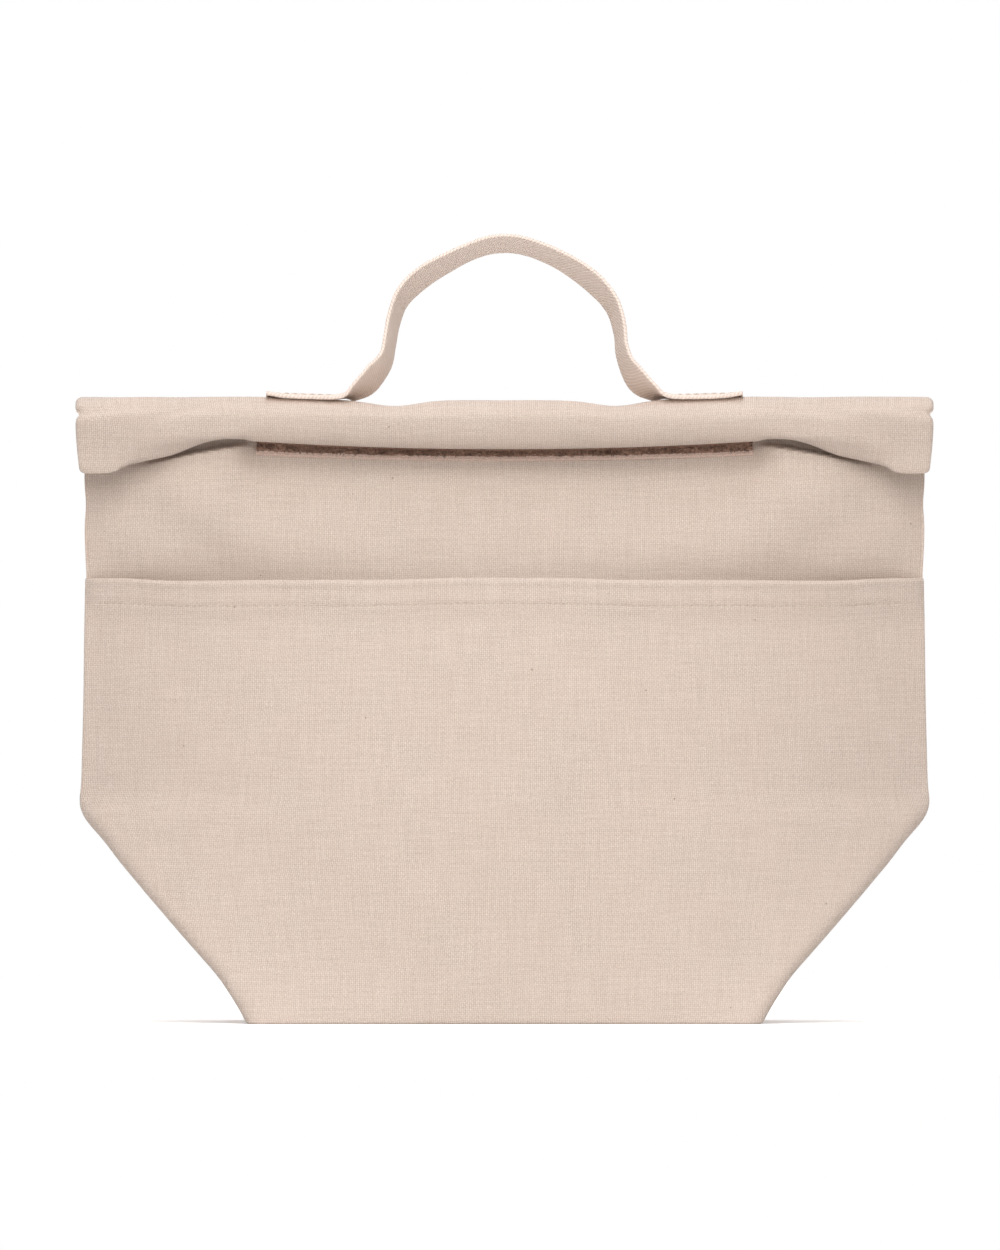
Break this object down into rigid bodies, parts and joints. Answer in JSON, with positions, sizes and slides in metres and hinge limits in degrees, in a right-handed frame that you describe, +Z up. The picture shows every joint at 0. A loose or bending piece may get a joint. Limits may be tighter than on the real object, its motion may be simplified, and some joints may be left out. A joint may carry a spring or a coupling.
{
  "type": "roll-top cooler bag",
  "caption": "Insulated canvas lunch bag standing on boxed corners, with a front pocket, a mouth rolled twice onto hook-and-loop tape and a webbing loop handle on the roll.",
  "frame": {"origin": "centre of the base on the surface that the bag stands on", "axes": "+Z up, +X to the right as the pocket side is seen, the pocket side faces -Y"},
  "size_m": [0.34, 0.138, 0.3156],
  "materials": {
    "canvas": "plain-weave natural cotton canvas",
    "foam": "soft expanded foam sheet",
    "foil": "aluminised film",
    "board": "stiff plastic sheet",
    "loop_tape": "woven tape with a brushed loop pile",
    "hook_tape": "woven tape with moulded hooks",
    "webbing": "twill-woven cotton webbing",
    "thread": "sewing thread"
  },
  "bodies": {
    "bag": {"front_panel": "canvas", "back_panel": "canvas", "base_panel": "canvas", "pocket_panel": "canvas", "pocket_hem_stitching": "thread", "front_foam": "foam", "back_foam": "foam", "base_foam": "foam", "front_lining": "foil", "back_lining": "foil", "base_lining": "foil", "base_board": "board", "loop_strip": "loop_tape", "loop_strip_stitching": "thread"},
    "ridge": {"back_bend": "canvas", "ridge_back_canvas": "canvas", "ridge_front_canvas": "canvas", "ridge_lining": "foil", "left_handle_foot": "webbing", "right_handle_foot": "webbing", "left_foot_stitching": "thread", "right_foot_stitching": "thread", "left_handle_rise": "webbing", "right_handle_rise": "webbing"},
    "fold": {"front_bend": "canvas", "fold_back_canvas": "canvas", "fold_front_canvas": "canvas", "fold_lining": "foil", "bottom_bend": "canvas"},
    "flap": {"flap_back_canvas": "canvas", "flap_front_canvas": "canvas", "flap_lining": "foil", "hook_strip": "hook_tape"},
    "handle": {"handle_loop": "webbing"}
  },
  "joints": [
    {"name": "ridge_unroll", "type": "hinge", "parent": "bag", "child": "ridge", "pos_m": [0, 0.005, 0.2476], "axis": [-1, 0, 0], "range_deg": [0, 90], "deforming": ["back_bend"]},
    {"name": "fold_unroll", "type": "hinge", "parent": "ridge", "child": "fold", "pos_m": [0, -0.01851, 0.2476], "axis": [-1, 0, 0], "range_deg": [0, 90], "deforming": ["front_bend"]},
    {"name": "flap_unroll", "type": "hinge", "parent": "fold", "child": "flap", "pos_m": [0, -0.0148, 0.2265], "axis": [-1, 0, 0], "range_deg": [0, 180], "deforming": ["bottom_bend", "hook_strip"]},
    {"name": "handle_flop", "type": "hinge", "parent": "ridge", "child": "handle", "pos_m": [0, -0.00675, 0.2503], "axis": [-1, 0, 0], "range_deg": [-73, 47], "deforming": ["left_handle_rise", "right_handle_rise"]}
  ],
  "couplings": [
    {"joint": "fold_unroll", "follows": "ridge_unroll", "ratio": 1},
    {"joint": "flap_unroll", "follows": "ridge_unroll", "ratio": 2}
  ]
}
